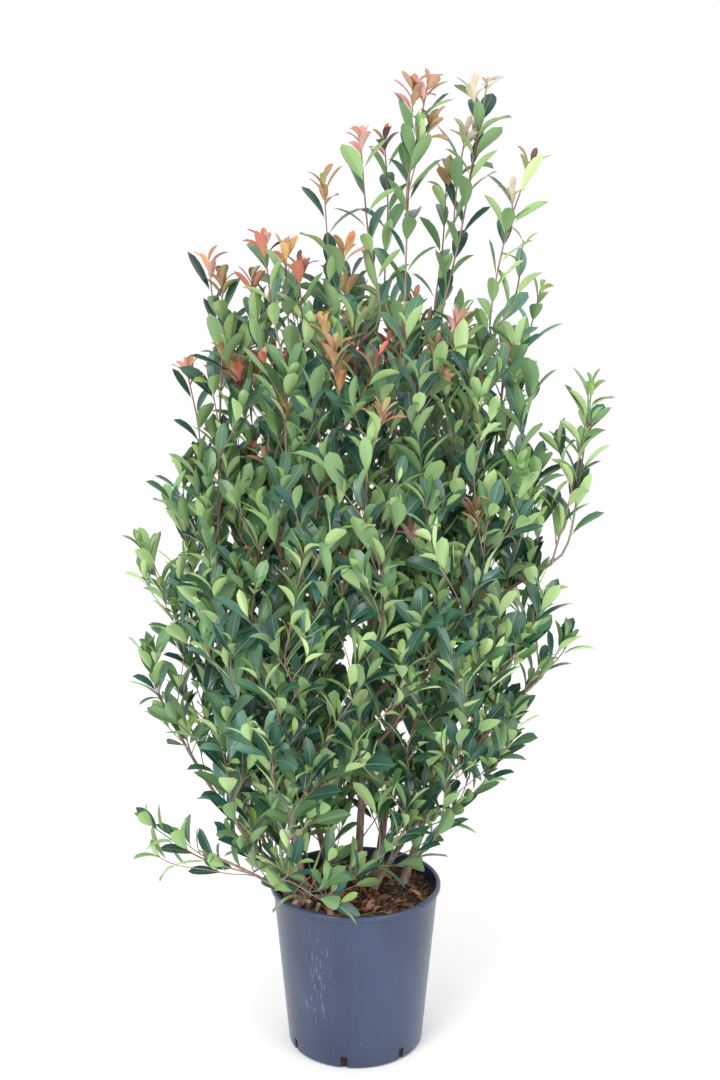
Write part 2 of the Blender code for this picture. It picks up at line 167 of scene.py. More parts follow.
SHOOTS_PER_LITRE = 4.9
FEWEST_SHOOTS = 3
LOW_MASSES = 0.56
LOW_CROWDING = 1.35
TARGET_TRIES = 8
SHORTEST_SHOOT = 0.09
LEAST_RISE = 0.45
SPARE_RISE = 0.4
RISE_COST = 0.32
ANGLE_COST = 0.1
SHORT_COST = 0.5
FLAT_COST = 0.4
WOOD_STEP = 0.018
OLDER_SHARE = 0.7
START_TO_TIP = 0.85
START_TO_PARENT = 0.35
END_TO_TIP = 0.75
END_UPWARD = 0.55
SHOOT_WANDER = 0.1
HANDLE_SHARE = 0.36
TWIG_SIDES = 6
TWIG_RADIUS = 0.0009
TWIG_GAIN = 0.0022
LEAST_FOOT = 1.2
GROWN_LENGTH = 0.35
CHILD_SHARE = 0.75
MOST_BARE = 0.5
BARE_FOOT = 0.06
BARE_LENGTH = 0.24
BARE_GAIN = 0.9
LEADER_FOOT = 0.0032
LEADER_TIP = 0.0013
LEADER_SHARE = 0.85
LEADER_START = 0.04
LEADER_BARE = 0.15
SPRAY_BASE = 0.9
SPRAY_TIP = 0.92
SPRAY_OUTWARD = 0.4
SPRAY_SAG = 0.08
SPRAY_BARE = 0.1
SPRAY_SCATTER = 0.018

# Spacing and size of the leaves on a shoot, the tint of its young ones and how far they reach

Habit = namedtuple("Habit", "leaf_step leaf_size young young_length")
LEAF_STEP = 0.017
SPRAY_HABIT = Habit(LEAF_STEP, 0.92, "fresh", 0.02)
SPRAY_SIDE_HABIT = Habit(LEAF_STEP, 0.88, "fresh", 0.015)
LEADER_HABIT = Habit(0.026, 1.0, None, 0.05)
CROWN_YOUNG = ["bronze", "orange", "pink", "red", "bronze"]
# Chance of red tips on a shoot, by the height above which it holds
RED_TIP_CHANCES = ((1.35, 0.3), (0.9, 0.04), (0.0, 0.0))
REDDISH = ("pink", "red", "orange")

# Leaves

LEAF_LENGTH = 0.083
LEAF_WIDTH_SHARE = 0.345
LEAF_THICKNESS = 0.0007
LEAF_ROWS = (0.0, 0.11, 0.2, 0.35, 0.52, 0.68, 0.85, 1.0)
LEAF_STRIPS = 5
ROW_POINTS = 2 * LEAF_STRIPS
LEAF_PARTS = 3
PETIOLE_SHARE = 0.11
STALK_WIDTH = 0.045
FOOT_POWER = 0.85
TIP_POWER = 0.62
OUTLINE_FACTOR = 2.72
RIB_SHARE = 0.055
RIB_END = 1.1
THINNEST_RIB = 0.0003
WIDEST_RIB = 0.6
BLADE_ARCH = 0.06
TIP_GAP = 0.002
LOOK_BACK = 0.01
LEAF_SKEW = (0.37, 0.91, 0.11)
GOLDEN_ANGLE = math.radians(137.5)
TIP_LEAF_SIZE = 0.62
SIZE_LENGTH = 0.08
TIP_OPENNESS = 0.4
OPEN_LENGTH = 0.1
UPWARD_PULL = 0.34
FACING_SPREAD = 0.16
CLOSE_LENGTH = 0.045
TIP_CROWDING = 0.52
RED_CROWDING = 0.24
OUTER_RADIUS = 0.3
PALE_OUTSIDE = 0.4
PALE_INSIDE = 0.05
OWN_TINT = 0.6
STRAY_TINT = 0.22
BOX_TRIES = 5
BOX_TURN = 0.35
BOX_SHRINK = 0.88

# How a young leaf differs from a grown one: factors of length and width, and extra curl
Growth = namedtuple("Growth", "length width curl")
GROWN = Growth(1.0, 1.0, 0.0)
YOUNG = Growth(0.72, 0.92, 0.35)

# Leaders, the long shoots that stand clear of the crown: base, middle and tip in millimetres, tint

LEADERS = [
    ((90, -50, 1472), (95, -50, 1654), (104, -50, 1872), "pink"),
    ((94, -50, 1700), (115, -50, 1800), (131, -52, 1882), "pink"),
    ((112, -50, 1745), (126, -35, 1775), (139, -30, 1812), "bronze"),
    ((45, -80, 1469), (23, -80, 1620), (9, -80, 1782), "pink"),
    ((56, 0, 1490), (60, 0, 1660), (53, 0, 1788), "red"),
    ((163, 40, 1458), (200, 40, 1630), (243, 40, 1890), "cream"),
    ((212, 40, 1715), (224, 30, 1794), (215, 30, 1872), "cream"),
    ((185, 50, 1640), (194, 50, 1730), (207, 50, 1802), "cream"),
    ((151, 80, 1450), (166, 80, 1592), (172, 80, 1722), "bronze"),
    ((251, 0, 1440), (276, 0, 1602), (322, 0, 1742), "red"),
    ((276, 0, 1600), (290, 15, 1630), (289, 20, 1684), "cream"),
    ((262, 20, 1420), (300, 20, 1500), (312, 20, 1600), "fresh"),
    ((325, 100, 1380), (340, 100, 1440), (356, 100, 1508), "fresh"),
    ((-40, -100, 1450), (-49, -100, 1600), (-55, -100, 1706), "bronze"),
    ((-140, -120, 1440), (-152, -120, 1520), (-161, -120, 1600), "red"),
    ((-115, -120, 1410), (-122, -120, 1500), (-121, -120, 1592), "orange"),
    ((-90, -125, 1400), (-94, -125, 1470), (-100, -125, 1560), "red"),
    ((-30, -100, 1440), (-28, -100, 1520), (-14, -100, 1590), "orange"),
    ((-170, -60, 1400), (-180, -50, 1460), (-190, -40, 1534), "red"),
    ((-250, 0, 1400), (-264, 0, 1490), (-271, 0, 1562), "orange"),
    ((-236, 0, 1400), (-246, 0, 1480), (-244, 0, 1532), "bronze"),
    ((-285, -30, 1200), (-296, -30, 1280), (-313, -30, 1365), "orange"),
    ((402, -45, 1040), (424, -47, 1200), (438, -50, 1345), "fresh"),
]

# Leaf tints: screen colours of the upper and under sides and the roughness above, dealt out by spray

TINTS = {
    "green": [
        ((50, 88, 74), (141, 176, 116), 0.26),
        ((63, 103, 86), (157, 192, 127), 0.28),
        ((41, 76, 67), (127, 160, 109), 0.25),
        ((77, 117, 88), (168, 201, 134), 0.3),
        ((54, 97, 88), (120, 155, 104), 0.26),
        ((93, 131, 88), (172, 203, 136), 0.32),
    ],
    "pale": [
        ((100, 142, 127), (179, 210, 146), 0.34),
        ((116, 155, 109), (188, 216, 148), 0.36),
        ((129, 167, 109), (197, 223, 157), 0.38),
    ],
    "pink": [((208, 143, 133), (220, 171, 161), 0.34), ((178, 126, 100), (197, 158, 128), 0.34)],
    "red": [
        ((193, 90, 70), (212, 131, 105), 0.32),
        ((166, 82, 68), (193, 116, 96), 0.32),
        ((98, 63, 66), (128, 88, 90), 0.4),
    ],
    "orange": [((216, 133, 85), (229, 165, 115), 0.34), ((206, 160, 98), (223, 188, 128), 0.34)],
    "bronze": [((166, 120, 83), (193, 154, 115), 0.34), ((147, 133, 83), (178, 169, 118), 0.34)],
    "cream": [((214, 188, 172), (224, 204, 190), 0.42), ((206, 196, 158), (218, 210, 180), 0.42)],
    "fresh": [((107, 146, 86), (157, 188, 115), 0.36), ((133, 164, 90), (175, 201, 122), 0.36)],
    "dead": [
        ((112, 66, 44), (150, 104, 78), 0.65),
        ((168, 122, 108), (186, 144, 128), 0.6),
        ((198, 184, 112), (206, 196, 134), 0.5),
    ],
}
RIB_PALENESS = 0.3

# Floor, light and camera

FLOOR_SIZE = 14.0
FLOOR_DROP = 0.0005
FLOOR_WHITE = (0.96, 0.96, 0.96)
# Soft lamps: name, place, width and watts
LAMPS = (("key", (-1.8, -3.0, 3.4), 2.2, 95.0), ("fill", (2.6, -2.4, 2.0), 2.4, 45.0))
LAMP_AIM = (0.0, 0.0, 0.9)
CAMERA_PLACE = (0.009, -2.818, 1.62)
CAMERA_PITCH = math.radians(90.0 - 11.7)
CAMERA_LENS = 50.0


# Colours


def from_srgb(red, green, blue):
    """Linear colour of an ordinary 0 to 255 screen colour."""
    parts = [channel / 255.0 for channel in (red, green, blue)]
    return tuple(part / 12.92 if part <= 0.04045 else ((part + 0.055) / 1.055) ** 2.4 for part in parts)


def mixed(first, second, share):
    return tuple(a * (1.0 - share) + b * share for a, b in zip(first, second))


SLATE = from_srgb(54, 68, 97)
SLATE_DARK = from_srgb(43, 55, 82)
LIME_MARK = from_srgb(150, 165, 190)
CHIPPED_EDGE = from_srgb(122, 122, 128)
COMPOST_DARK = from_srgb(38, 26, 20)
COMPOST_WARM = from_srgb(92, 58, 40)
BARK_GREY = from_srgb(156, 136, 124)
BARK_BROWN = from_srgb(118, 94, 82)
BARK_PALE = from_srgb(186, 170, 156)
CUT_WOOD = from_srgb(196, 172, 142)
YOUNG_BROWN = from_srgb(146, 122, 106)
YOUNG_RED = from_srgb(122, 84, 66)
TWIG_BROWN = from_srgb(132, 98, 84)
SHOOT_GREEN = from_srgb(146, 128, 92)
RIB_PALE = from_srgb(176, 190, 130)

# Twig finishes from foot to tip, and the shares of a twig's length where one gives way to the next
TWIG_FINISHES = (("twig_grey", BARK_GREY), ("twig_brown", TWIG_BROWN), ("twig_green", SHOOT_GREEN))
TWIG_CHANGES = (0.45, 0.86)


# Shader helpers. Pattern scales are in waves or cells for each metre along X, Y and Z.


class Value:
    """A number socket that adds and multiplies like an ordinary number."""

    def __init__(self, shader, socket):
        self.shader = shader
        self.socket = socket

    def joined(self, operation, other):
        return self.shader.number("Math", {"operation": operation}, {0: self, 1: other})

    def __add__(self, other):
        return self.joined("ADD", other)

    def __mul__(self, other):
        return self.joined("MULTIPLY", other)

    __radd__ = __add__
    __rmul__ = __mul__


class Shader:
    """One material with its Principled surface, and short ways to add nodes to it."""

    def __init__(self, name, colour, roughness):
        self.material = bpy.data.materials.new(name)
        self.material.use_nodes = True
        self.tree = self.material.node_tree
        self.surface = self.tree.nodes["Principled BSDF"]
        self.material.diffuse_color = (*colour, 1.0)
        self.surface.inputs["Base Color"].default_value = (*colour, 1.0)
        self.surface.inputs["Roughness"].default_value = roughness

    def node(self, kind, settings, sockets):
        """A new node. Its settings come first: they decide which sockets it has."""
        made = self.tree.nodes.new("ShaderNode" + kind)
        for name, value in settings.items():
            setattr(made, name, value)
        for name, value in sockets.items():
            self.fill(made.inputs[name], value)
        return made

    def fill(self, target, value):
        """Links a socket or a Value into the target, or sets a plain value on it."""
        if isinstance(value, Value):
            value = value.socket
        if isinstance(value, bpy.types.NodeSocket):
            self.tree.links.new(value, target)
        else:
            target.default_value = value

    def feed(self, socket, value):
        self.fill(self.surface.inputs[socket], value)

    def number(self, kind, settings, sockets, output=0):
        return Value(self, self.node(kind, settings, sockets).outputs[output])

    def place(self, scale):
        """Object coordinates, stretched by a scale for each axis."""
        where = self.node("TexCoord", {}, {}).outputs["Object"]
        settings = {"operation": "MULTIPLY"}
        return self.node("VectorMath", settings, {0: where, 1: scale}).outputs[0]

    def axis(self, letter):
        where = self.node("TexCoord", {}, {}).outputs["Object"]
        return self.number("SeparateXYZ", {}, {0: where}, letter)

    def noise(self, scale, detail, roughness=0.55, distortion=0.0):
        sockets = {"Vector": self.place(scale), "Scale": 1.0, "Detail": detail}
        sockets.update({"Roughness": roughness, "Distortion": distortion})
        return self.number("TexNoise", {}, sockets)

    def cells(self, scale):
        return self.number("TexVoronoi", {}, {"Vector": self.place(scale), "Scale": 1.0})

    def ramp(self, value, low, high):
        """0 below low, 1 above high and smooth between. Low may be the larger."""
        sockets = {"Value": value, "From Min": low, "From Max": high}
        return self.number("MapRange", {"interpolation_type": "SMOOTHSTEP"}, sockets)

    def blend(self, first, second, share):
        """A colour between two others, each a socket or a plain colour."""
        sockets = {0: share, 6: self.opaque(first), 7: self.opaque(second)}
        return self.node("Mix", {"data_type": "RGBA"}, sockets).outputs[2]

    def opaque(self, colour):
        return colour if isinstance(colour, bpy.types.NodeSocket) else (*colour, 1.0)

    def bump(self, height, distance, strength):
        sockets = {"Height": height, "Distance": distance, "Strength": strength}
        self.feed("Normal", self.node("Bump", {}, sockets).outputs[0])


# Finishes of the pot, the compost and the bark


def pot_finish():
    """Satin plastic: uneven slate blue, scuffs, and pale marks where hard water ran."""
    shader = Shader("slate_blue_plastic", SLATE, roughness=0.42)
    clouds = shader.noise((9.0, 9.0, 5.0), detail=3.0)
    runs = shader.noise((150.0, 150.0, 9.0), detail=4.0, roughness=0.6, distortion=0.8)
    drops = shader.noise((210.0, 210.0, 60.0), detail=2.0, roughness=0.5)
    faint_runs = shader.noise((80.0, 80.0, 3.0), detail=3.0)
    specks = shader.noise((260.0, 260.0, 260.0), detail=1.0)
    scuffs = shader.noise((30.0, 30.0, 170.0), detail=3.0, roughness=0.6, distortion=1.5)
    patch = math.prod(shader.ramp(shader.axis(letter), start, full) for letter, start, full in MARKED_PATCH)
    marks = patch * (shader.ramp(runs, 0.56, 0.72) * 0.42 + shader.ramp(drops, 0.6, 0.7) * 0.3)
    marks += shader.ramp(faint_runs, 0.6, 0.78) * 0.05
    marks += shader.ramp(specks, 0.75, 0.79) * 0.45
    marks += shader.ramp(scuffs, 0.7, 0.8) * 0.1
    base = shader.blend(SLATE_DARK, SLATE, shader.ramp(clouds, 0.3, 0.7))
    shader.feed("Base Color", shader.blend(base, LIME_MARK, marks))
    shader.feed("Roughness", 0.22 + 0.14 * clouds + 0.3 * marks)
    pebbling = shader.noise((420.0, 420.0, 420.0), detail=2.0)
    shader.bump(pebbling + 2.0 * clouds, distance=0.0004, strength=0.5)
    return shader.material


def grainy_finish(name, colour, ground, roughness, scale, low, high):
    """Grains of one colour in a ground of another: a chipped edge, or weathered wood."""
    shader = Shader(name, colour, roughness)
    grain = shader.noise((scale, scale, scale), detail=2.0)
    shader.feed("Base Color", shader.blend(ground, colour, shader.ramp(grain, low, high)))
    return shader.material


def compost_finish():
    shader = Shader("bark_compost", COMPOST_DARK, roughness=0.95)
    grain = shader.noise((240.0, 240.0, 240.0), detail=4.0, roughness=0.7)
    patches = shader.noise((38.0, 38.0, 38.0), detail=2.0)
    warm = shader.ramp(grain, 0.45, 0.72) * shader.ramp(patches, 0.35, 0.65)
    shader.feed("Base Color", shader.blend(COMPOST_DARK, COMPOST_WARM, warm))
    shader.bump(grain, distance=0.004, strength=0.9)
    return shader.material


def bark_finish(name, main, dark, pale):
    """Smooth bark with long streaks and small pale pores across the stem."""
    shader = Shader(name, main, roughness=0.75)
    streaks = shader.noise((260.0, 260.0, 26.0), detail=4.0, roughness=0.6, distortion=0.6)
    blotches = shader.noise((45.0, 45.0, 16.0), detail=2.0)
    pores = shader.ramp(shader.cells((240.0, 240.0, 420.0)), 0.2, 0.1)
    ground = shader.blend(dark, main, shader.ramp(streaks, 0.32, 0.62))
    ground = shader.blend(ground, pale, shader.ramp(blotches, 0.52, 0.75) * 0.5)
    shader.feed("Base Color", shader.blend(ground, pale, pores * 0.8))
    shader.feed("Roughness", 0.62 + 0.25 * streaks)
    shader.bump(streaks + pores * 0.6, distance=0.0008, strength=0.8)
    return shader.material


# Mesh helpers


def keep(piece, slot, *nodes):
    """Every piece rides on the one body and stands for its nodes; its slot is not used."""
    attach(piece, "root")
    if nodes:
        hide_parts(*nodes)


def in_scene(name, data):
    item = bpy.data.objects.new(name, data)
    bpy.context.scene.collection.objects.link(item)
    return item


def finished(name, mesh, materials, sharp):
    """A smooth object of the mesh, whose edges stay sharp above an angle in degrees."""
    mesh.shade_smooth()
    mesh.set_sharp_from_angle(angle=math.radians(sharp))
    for material in materials:
        mesh.materials.append(material)
    return in_scene(name, mesh)


def from_bmesh(name, shape, materials, sharp):
    bmesh.ops.recalc_face_normals(shape, faces=shape.faces)
    mesh = bpy.data.meshes.new(name)
    shape.to_mesh(mesh)
    shape.free()
    return finished(name, mesh, materials, sharp)


def from_arrays(name, points, triangles, slots, materials, sharp):
    mesh = bpy.data.meshes.new(name)
    mesh.vertices.add(len(points))
    mesh.vertices.foreach_set("co", np.ascontiguousarray(points, np.float32).ravel())
    mesh.loops.add(len(triangles) * 3)
    mesh.loops.foreach_set("vertex_index", np.ascontiguousarray(triangles, np.int32).ravel())
    mesh.polygons.add(len(triangles))
    mesh.polygons.foreach_set("loop_start", np.arange(len(triangles), dtype=np.int32) * 3)
    mesh.polygons.foreach_set("material_index", np.ascontiguousarray(slots, np.int32))
    mesh.update(calc_edges=True)
    return finished(name, mesh, materials, sharp)


class Heap:
    """Triangles from many small shapes, gathered for one joined mesh."""

    def __init__(self):
        self.points = []
        self.triangles = []
        self.slots = []
        self.count = 0

    def add(self, points, triangles, slots):
        self.points.append(points)
        self.triangles.append(triangles + self.count)
        self.slots.append(slots)
        self.count += len(points)

    def make(self, name, materials, sharp):
        arrays = (np.concatenate(self.points), np.concatenate(self.triangles), np.concatenate(self.slots))
        return from_arrays(name, *arrays, materials, sharp)


def around(radius, angle):
    return radius * math.cos(angle), radius * math.sin(angle)


def unit(vectors):
    return vectors / np.maximum(norm(vectors, axis=-1, keepdims=True), 1e-9)


def step_lengths(path):
    return norm(np.diff(path, axis=0), axis=1)


def distances(path):
    """How far along the path each of its points is."""
    return np.concatenate([[0.0], step_lengths(path).cumsum()])


def smooth_path(corners, step):
    """Points about a step apart on a smooth curve through the corners."""
    corners = np.asarray(corners, float)
    ends = np.vstack([2.0 * corners[0] - corners[1], corners, 2.0 * corners[-1] - corners[-2]])
    points = []
    for index in range(1, len(ends) - 2):
        before, start, end, after = ends[index - 1:index + 3]
        count = max(2, round(norm(end - start) / step))
        for share in np.arange(count) / count:
            even = 2.0 * start + (end - before) * share
            square = (2.0 * before - 5.0 * start + 4.0 * end - after) * share ** 2
            cube = (3.0 * start - before - 3.0 * end + after) * share ** 3
            points.append((even + square + cube) / 2.0)
    points.append(corners[-1])
    return np.array(points)


def tube_arrays(path, radii, sides):
    """Points and triangles of a closed round tube along a path."""
    ahead = unit(np.gradient(path, axis=0))
    side = np.cross(ahead[0], TUBE_SKEW)
    rings = []
    angles = np.arange(sides) * FULL_TURN / sides
    for index in range(len(path)):
        side = unit(side - ahead[index] * side.dot(ahead[index]))
        up = np.cross(ahead[index], side)
        spokes = np.outer(np.cos(angles), side) + np.outer(np.sin(angles), up)
        rings.append(path[index] + spokes * np.broadcast_to(radii[index], (sides,))[:, None])
    ends = [path[0], path[-1] + ahead[-1] * np.mean(radii[-1])]
    points = np.concatenate(rings + [np.array(ends)])
    triangles = []
    last = len(path) - 1
    for here in range(sides):
        after = (here + 1) % sides
        for ring in range(last):
            low, high = ring * sides, (ring + 1) * sides
            triangles.append((low + here, low + after, high + after))
            triangles.append((low + here, high + after, high + here))
        triangles.append((after, here, len(points) - 2))
        triangles.append((last * sides + here, last * sides + after, len(points) - 1))
    return points, np.array(triangles)


# Pot


def wall_radius(height):
    neck = RIM_RADIUS - LIP_OVERHANG
    return BASE_RADIUS + (neck - BASE_RADIUS) * height / RIM_HEIGHT


def arc(centre, radius, first, last, steps):
    angles = np.radians(np.linspace(first, last, steps + 1))
    return [(centre[0] + radius * math.cos(a), centre[1] + radius * math.sin(a)) for a in angles]


def pot_outline():
    """The pot's section in radius and height, and the two rows where a slot's top cuts it."""
    edge = EDGE_RADIUS
    lip_bottom = RIM_HEIGHT - LIP_DEPTH
    lip_round = LIP_WIDTH / 2.0
    slot_inner = BASE_RADIUS - SLOT_DEPTH
    under = [(slot_inner, 0.0)] + arc((wall_radius(edge) - edge, edge), edge, -90.0, 0.0, EDGE_STEPS)
    heights = np.linspace(SLOT_HEIGHT, lip_bottom, WALL_STEPS)
    outer = [(wall_radius(height), height) for height in heights]
    groove = [(wall_radius(lip_bottom) - GROOVE_DEPTH, lip_bottom + GROOVE_RISE)]
    lip = [(RIM_RADIUS - LIP_EDGE_INSET, lip_bottom + LIP_EDGE_RISE)]
    lip += [(RIM_RADIUS, lip_bottom + LIP_OVERHANG / 2.0)]
    lip += arc((RIM_RADIUS - lip_round, RIM_HEIGHT - lip_round), lip_round, 0.0, 180.0, LIP_STEPS)
    inner = [(wall_radius(height) - WALL, height) for height in reversed(heights)]
    floor = [(wall_radius(WALL) - WALL, WALL), (slot_inner, WALL)]
    outline = under + outer + groove + lip + inner + floor
    return outline, len(under), len(outline) - len(floor) - 1


def pot_angles():
    """Angles round the pot, two narrow steps to each slot, and which steps are slots."""
    half = math.asin(SLOT_WIDTH / 2.0 / BASE_RADIUS)
    angles = []
    in_slot = []
    sector = FULL_TURN / SLOT_COUNT
    for number in range(SLOT_COUNT):
        middle = SLOT_TURN + sector * number
        angles += [middle - half, middle]
        in_slot += [True, True]
        for step in range(SECTOR_STEPS):
            angles.append(middle + half + (sector - 2.0 * half) * step / SECTOR_STEPS)
            in_slot.append(False)
    return angles, in_slot


def chipped_face(shape, corners):
    """One face of the cut round a slot, in the pot's second finish."""
    shape.faces.new(corners).material_index = 1


def make_pot():
    outline, outer_top, inner_top = pot_outline()
    angles, in_slot = pot_angles()
    shape = bmesh.new()
    columns = []
    for angle in angles:
        turn = Matrix.Rotation(angle, 3, "Z")
        columns.append([shape.verts.new(turn @ Vector((radius, 0.0, height))) for radius, height in outline])
    bottom = shape.verts.new((0.0, 0.0, 0.0))
    floor = shape.verts.new((0.0, 0.0, WALL))
    for index, slotted in enumerate(in_slot):
        following = (index + 1) % len(columns)
        here, after = columns[index], columns[following]
        shape.faces.new((bottom, here[0], after[0]))
        shape.faces.new((floor, after[-1], here[-1]))
        for row in range(len(outline) - 1):
            if slotted and (row < outer_top or row >= inner_top):
                continue
            shape.faces.new((here[row], here[row + 1], after[row + 1], after[row]))
        if slotted:
            chipped_face(shape, (here[outer_top], here[inner_top], after[inner_top], after[outer_top]))
            chipped_face(shape, (here[0], here[-1], after[-1], after[0]))
        if slotted and not in_slot[index - 1]:
            chipped_face(shape, here[:outer_top + 1] + here[inner_top:])
        if slotted and not in_slot[following]:
            chipped_face(shape, after[:outer_top + 1] + after[inner_top:])
    chipped = grainy_finish("chipped_slot_edge", CHIPPED_EDGE, SLATE_DARK, 0.7, 600.0, 0.35, 0.6)
    pot = from_bmesh("pot_shell", shape, [pot_finish(), chipped], sharp=35.0)
    keep(pot, "pot_plastic", "pot")


# Compost


def unevenness(x, y, per_metre, layer):
    return noise.noise(Vector((x * per_metre, y * per_metre, layer)))


def compost_level(x, y):
    """The height of the compost's lumpy top."""
    lumps = unevenness(x, y, per_metre=30.0, layer=0.4)
    crumbs = unevenness(x, y, per_metre=150.0, layer=2.7)
    return COMPOST_HEIGHT + COMPOST_LUMPS * (lumps + CRUMB_SHARE * crumbs) - COMPOST_SINK


def compost_ring(shape, radius, level):
    """Points round the pot's axis, as high as level says for each place."""
    points = []
    for spoke in range(SPOKES):
        angle = FULL_TURN * spoke / SPOKES
        x, y = around(radius, angle)
        points.append(shape.verts.new((x, y, level(x, y))))
    return points


def make_compost():
    edge = wall_radius(COMPOST_HEIGHT) - WALL - COMPOST_GAP
    foot_edge = wall_radius(WALL) - WALL - COMPOST_GAP
    floor = WALL + COMPOST_GAP
    shape = bmesh.new()
    radii = [edge * ring / COMPOST_RINGS for ring in range(1, COMPOST_RINGS + 1)]
    rings = [compost_ring(shape, radius, compost_level) for radius in radii]
    rings.append(compost_ring(shape, foot_edge, lambda x, y: floor))
    top = shape.verts.new((0.0, 0.0, compost_level(0.0, 0.0)))
    under = shape.verts.new((0.0, 0.0, floor))
    for spoke in range(SPOKES):
        after = (spoke + 1) % SPOKES
        shape.faces.new((top, rings[0][spoke], rings[0][after]))
        shape.faces.new((under, rings[-1][after], rings[-1][spoke]))
        for inside, outside in zip(rings, rings[1:]):
            shape.faces.new((inside[spoke], outside[spoke], outside[after], inside[after]))
    compost = from_bmesh("compost_relief", shape, [compost_finish()], sharp=60.0)
    keep(compost, "compost", "compost")


def chip_points(corners, edge):
    """The corners of one chip, drawn at random in size, place, lean and turn."""
    is_small = DRAWS.random() < SMALL_CHIPS
    length = DRAWS.uniform(0.003, 0.01) if is_small else DRAWS.uniform(0.01, 0.017)
    width = length * DRAWS.uniform(0.12, 0.35)
    height = length * DRAWS.uniform(0.05, 0.14)
    jitter = DRAWS.uniform(0.55, 1.15, corners.shape)
    shard = corners * np.array((length / 2.0, width, height)) * jitter
    radius = (edge - length * CHIP_MARGIN) * math.sqrt(DRAWS.random())
    x, y = around(radius, DRAWS.uniform(0.0, FULL_TURN))
    lean_x = Matrix.Rotation(DRAWS.normal(0.0, CHIP_LEAN), 3, "X")
    lean_y = Matrix.Rotation(DRAWS.normal(0.0, CHIP_LEAN), 3, "Y")
    turn = np.array(Matrix.Rotation(DRAWS.uniform(0.0, FULL_TURN), 3, "Z") @ (lean_x @ lean_y))
    return shard @ turn.T + (x, y, compost_level(x, y) + height * CHIP_LIFT)


def make_chips():
    """Flakes of bark that lie over each other on the compost."""
    heap = Heap()
    edge = wall_radius(COMPOST_HEIGHT) - WALL
    corners = np.array([(x, y, z) for z in (-1, 1) for x, y in ((-1, -1), (1, -1), (1, 1), (-1, 1))], float)
    quads = ((3, 2, 1, 0), (4, 5, 6, 7), (0, 1, 5, 4), (1, 2, 6, 5), (2, 3, 7, 6), (3, 0, 4, 7))
    triangles = np.array([part for a, b, c, d in quads for part in ((a, b, c), (a, c, d))])
    for _ in range(CHIP_COUNT):
        points = chip_points(corners, edge)
        heap.add(points, triangles, np.full(len(triangles), DRAWS.integers(len(CHIP_TINTS))))
    finishes = []
    for number, tint in enumerate(CHIP_TINTS):
        finishes.append(Shader("bark_chip_%d" % number, from_srgb(*tint), roughness=0.85).material)
    keep(heap.make("bark_chips", finishes, sharp=20.0), "compost")


# Stems and boughs


class Wood:
    """The shoots so far, and every place on limbs and older shoots that a new one can start from."""

    def __init__(self):
        self.shoots = []
        self.points = np.zeros((0, 3))
        self.ahead = np.zeros((0, 3))
        self.radii = np.zeros(0)

    def add(self, path, radii):
        self.points = np.vstack([self.points, path])
        self.ahead = np.vstack([self.ahead, unit(np.gradient(path, axis=0))])
        self.radii = np.concatenate([self.radii, radii])

    def add_shoot(self, shoot):
        self.shoots.append(shoot)
        older = slice(2, max(4, int(len(shoot.path) * OLDER_SHARE)))
        self.add(shoot.path[older], shoot.radii[older])

    def nearest_start(self, target):
        """The best place to start: close, well below the target, at an easy angle."""
        offsets = target - self.points
        length = norm(offsets, axis=1)
        rise = offsets[:, 2] / np.maximum(length, 1e-6)
        easy = (offsets * self.ahead).sum(1) / np.maximum(length, 1e-6)
        lack = np.clip(LEAST_RISE + SPARE_RISE - rise, 0.0, 2.0)
        cost = length + RISE_COST * lack + ANGLE_COST * (1.0 - easy)
        cost = cost + np.where(length < SHORTEST_SHOOT, SHORT_COST, 0.0)
        cost = cost + np.where(rise < LEAST_RISE, FLAT_COST, 0.0)
        return int(cost.argmin())


def centre_line(node):
    """Ring centres and radii of a limb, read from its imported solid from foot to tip."""
    mesh = NODES[node].data
    points = np.unique(np.round([tuple(vertex.co) for vertex in mesh.vertices], 6), axis=0)
    foot, tip = points[points[:, 2].argmin()], points[points[:, 2].argmax()]
    along = points @ unit(tip - foot)
    order = along.argsort()
    points, along = points[order], along[order]
    breaks = np.nonzero(np.diff(along) > RING_GAP)[0] + 1
    rings = np.split(points, breaks)
    centres = np.array([(ring.min(0) + ring.max(0)) / 2.0 for ring in rings])
    radii = np.array([norm(ring - centre, axis=1).max() for ring, centre in zip(rings, centres)])
    return centres, radii


def bark_rings(marks, radii, foot):
    """The uneven radius round each ring of a limb, with knots where leaves have been."""
    rings = []
    for mark, radius in zip(marks, radii):
        knot = 1.0 + KNOT_SWELL * math.exp(-((mark % KNOT_SPACING) / KNOT_LENGTH) ** 2)
        sides = []
        for side in range(LIMB_SIDES):
            across = around(WAVES_ROUND, FULL_TURN * side / LIMB_SIDES)
            spot = Vector((*across, mark * WAVES_ALONG)) + Vector(foot) * BARK_VARIETY
            sides.append(radius * knot * (1.0 + BARK_RELIEF * noise.noise(spot)))
        rings.append(np.array(sides))
    return rings


def make_limb(node, wood, slot, finish):
    """Bark over one limb, which then bears shoots from just above its foot."""
    centres, rings = centre_line(node)
    path = smooth_path(centres, LIMB_STEP)
    marks = distances(path)
    ring_marks = marks[[norm(path - centre, axis=1).argmin() for centre in centres]]
    radii = np.interp(marks, ring_marks, rings)
    if node.startswith("bough_"):
        radii = np.minimum(radii, radii[len(radii) // 3] * BOUGH_SWELL)
    points, triangles = tube_arrays(path, bark_rings(marks, radii, centres[0]), LIMB_SIDES)
    slots = np.zeros(len(triangles), int)
    bark = from_arrays("bark_" + node, points, triangles, slots, [finish], sharp=70.0)
    keep(bark, slot, node)
    bearing = marks > SHOOTLESS_FOOT
    wood.add(path[bearing], radii[bearing])


